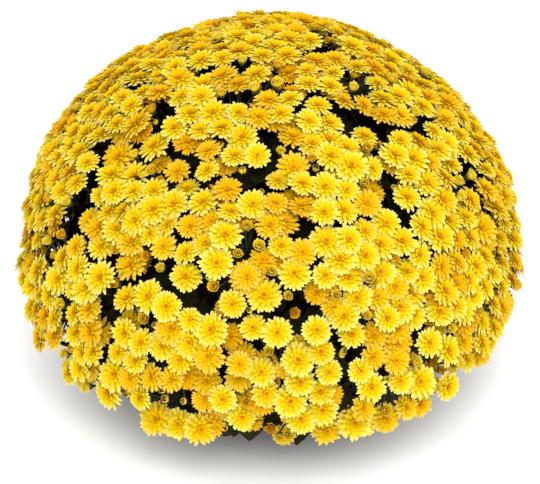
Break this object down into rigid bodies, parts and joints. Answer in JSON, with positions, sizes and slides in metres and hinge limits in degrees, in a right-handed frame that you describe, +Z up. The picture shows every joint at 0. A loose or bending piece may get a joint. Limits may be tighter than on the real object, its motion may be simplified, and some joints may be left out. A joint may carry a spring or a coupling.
{
  "type": "pot chrysanthemum",
  "caption": "Pot chrysanthemum: a low dome packed with small double yellow blooms over dark lobed leaves, rooted in a plain dark plastic pot.",
  "frame": {"origin": "centre of the flat underside of the pot", "axes": "+Z up along the pot's axis; the plant is much alike all round, and -Y is the side that faced the camera"},
  "size_m": [0.514, 0.5092, 0.3621],
  "materials": {
    "pot_plastic": "plain dark nursery-pot plastic, fine satin grain",
    "potting_soil": "damp crumbly potting mix",
    "leaf_green": "soft matt leaf, paler veins",
    "petal_yellow": "soft matt petals, paler at the tips and orange at the heart"
  },
  "bodies": {
    "root": {"pot": "pot_plastic", "soil": "potting_soil", "foliage": "leaf_green", "spray_01": "petal_yellow", "spray_02": "petal_yellow", "spray_03": "petal_yellow", "spray_04": "petal_yellow", "spray_05": "petal_yellow", "spray_06": "petal_yellow", "spray_07": "petal_yellow", "spray_08": "petal_yellow", "spray_09": "petal_yellow", "spray_10": "petal_yellow", "spray_11": "petal_yellow", "spray_12": "petal_yellow", "spray_13": "petal_yellow", "spray_14": "petal_yellow", "spray_15": "petal_yellow", "spray_16": "petal_yellow", "spray_17": "petal_yellow", "spray_18": "petal_yellow", "spray_19": "petal_yellow", "spray_20": "petal_yellow", "spray_21": "petal_yellow", "spray_22": "petal_yellow", "spray_23": "petal_yellow", "spray_24": "petal_yellow", "spray_25": "petal_yellow", "spray_26": "petal_yellow", "spray_27": "petal_yellow", "spray_28": "petal_yellow", "spray_29": "petal_yellow", "spray_30": "petal_yellow", "spray_31": "petal_yellow", "spray_32": "petal_yellow", "spray_33": "petal_yellow", "spray_34": "petal_yellow", "spray_35": "petal_yellow", "spray_36": "petal_yellow", "spray_37": "petal_yellow", "spray_38": "petal_yellow"}
  },
  "joints": []
}
